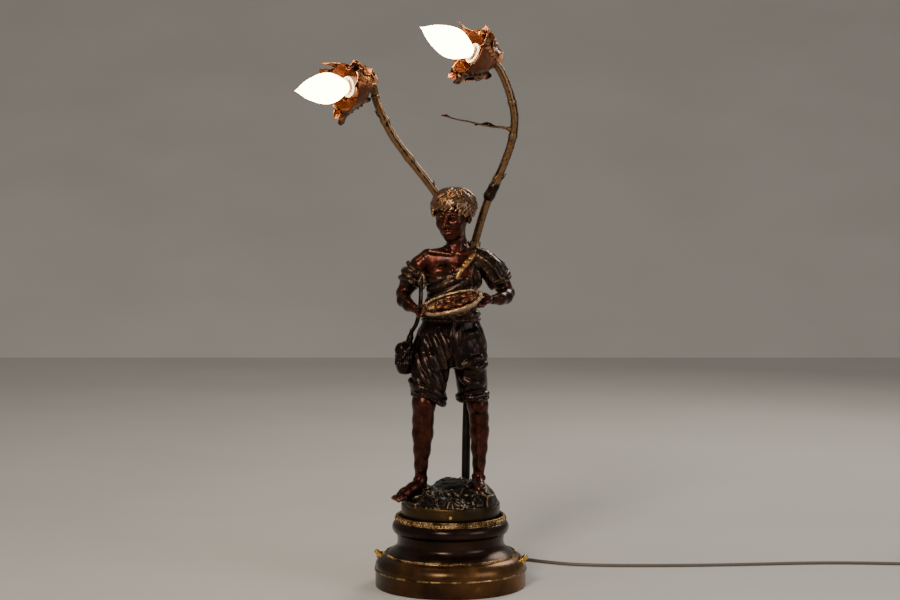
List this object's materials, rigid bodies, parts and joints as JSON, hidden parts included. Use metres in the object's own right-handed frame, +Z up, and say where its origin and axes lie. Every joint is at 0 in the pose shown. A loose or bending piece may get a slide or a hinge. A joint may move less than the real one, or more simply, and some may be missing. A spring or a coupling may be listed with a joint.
{
  "type": "figural table lamp",
  "caption": "Figural table lamp: a standing boy with a dish on a round stepped base, a forked stem with leafy cups and candle bulbs, flex and plug.",
  "frame": {"origin": "centre of the felt pad's underside, on the resting plane", "axes": "+Z up, the boy faces -Y, +X to the viewer's right"},
  "size_m": [0.8217, 0.3128, 0.6645],
  "materials": {
    "felt_green": "matte wool felt",
    "steel_plain": "plain sheet and turned steel",
    "iron_ballast": "rough cast",
    "socle_bronze": "dark brown bronze patina, satin",
    "socle_drum": "worn golden brown patina, satin",
    "brass_worn": "worn brass",
    "brass_bright": "polished brass",
    "ground_bronze": "dark bronze patina with gilt rubbed on the high spots",
    "stem_bronze": "almost black bronze patina",
    "branch_bronze": "brown bronze patina",
    "leaf_copper": "copper brown patina with rubbed edges",
    "cup_metal": "brown patina, satin",
    "holder_plastic": "cream moulded plastic",
    "shell_brass": "plain rolled brass",
    "cap_metal": "rolled aluminium",
    "cap_insulator": "black glassy insulator",
    "bulb_frosted": "frosted glass, lit",
    "filament_glow": "clear glass post with a lit filament",
    "skin_bronze": "reddish brown bronze patina, satin",
    "hair_bronze": "brown bronze patina",
    "cloth_bronze": "dark brown bronze patina with gilt rubbed on the folds",
    "dish_bronze": "brown bronze patina",
    "switch_plastic": "black moulded plastic",
    "terminal_plastic": "white moulded plastic",
    "wire_insulation": "brown wire insulation",
    "cord_grey": "grey brown flex",
    "tie_black": "black wire tie",
    "plug_plastic": "dark brown moulded plug"
  },
  "bodies": {
    "lamp": {"felt_pad": "felt_green", "bottom_plate": "steel_plain", "plate_screws": "steel_plain", "ballast": "iron_ballast", "base_skirt": "socle_drum", "rim_wire": "brass_worn", "bead_strip": "brass_worn", "base_body": "socle_bronze", "leaf_band": "brass_worn", "ground": "ground_bronze", "plaque_pin": "brass_worn", "stem_tube": "stem_bronze", "stem_nuts": "steel_plain", "stem_fork": "stem_bronze", "branch_left": "branch_bronze", "branch_right": "branch_bronze", "branch_buds": "branch_bronze", "twig": "branch_bronze", "terminal_block": "terminal_plastic", "leads": "wire_insulation", "switch_bezels": "brass_bright", "cord_gland": "plug_plastic", "cord_run": "cord_grey", "cord_coil": "cord_grey", "cord_tie": "tie_black", "plug_body": "plug_plastic", "plug_pins": "brass_bright", "boy_torso": "skin_bronze", "boy_head": "hair_bronze", "boy_trousers": "cloth_bronze", "boy_tray": "dish_bronze", "tray_fruit": "dish_bronze", "boy_arm_right": "skin_bronze", "boy_arm_left": "skin_bronze", "boy_leg_right": "skin_bronze", "boy_leg_left": "skin_bronze", "boy_satchel": "cloth_bronze", "satchel_strap": "cloth_bronze", "inner_cup_left": "cup_metal", "petals_left": "leaf_copper", "holder_nut_left": "branch_bronze", "lampholder_left": "holder_plastic", "socket_shell_left": "shell_brass", "switch_body_left": "switch_plastic", "inner_cup_right": "cup_metal", "petals_right": "leaf_copper", "holder_nut_right": "branch_bronze", "lampholder_right": "holder_plastic", "socket_shell_right": "shell_brass", "switch_body_right": "switch_plastic"},
    "bulb_left": {"bulb_cap_left": "cap_metal", "bulb_foot_left": "cap_insulator", "bulb_glass_left": "bulb_frosted", "filament_left": "filament_glow"},
    "bulb_right": {"bulb_cap_right": "cap_metal", "bulb_foot_right": "cap_insulator", "bulb_glass_right": "bulb_frosted", "filament_right": "filament_glow"},
    "button_left": {"switch_button_left": "brass_bright"},
    "button_right": {"switch_button_right": "brass_bright"}
  },
  "joints": [
    {"name": "bulb_left_out", "type": "slide", "parent": "lamp", "child": "bulb_left", "axis": [-0.7469, -0.6579, -0.096], "range_m": [0, 0.022]},
    {"name": "bulb_right_out", "type": "slide", "parent": "lamp", "child": "bulb_right", "axis": [-0.782, -0.52, 0.3436], "range_m": [0, 0.022]},
    {"name": "button_right_press", "type": "slide", "parent": "lamp", "child": "button_right", "axis": [-0.6929, 0.141, -0.7071], "range_m": [0, 0.0025], "stiffness_N_per_m": 400, "springref_m": -0.002},
    {"name": "button_left_press", "type": "slide", "parent": "lamp", "child": "button_left", "axis": [0.6929, -0.141, -0.7071], "range_m": [0, 0.0025], "stiffness_N_per_m": 400, "springref_m": -0.002}
  ]
}
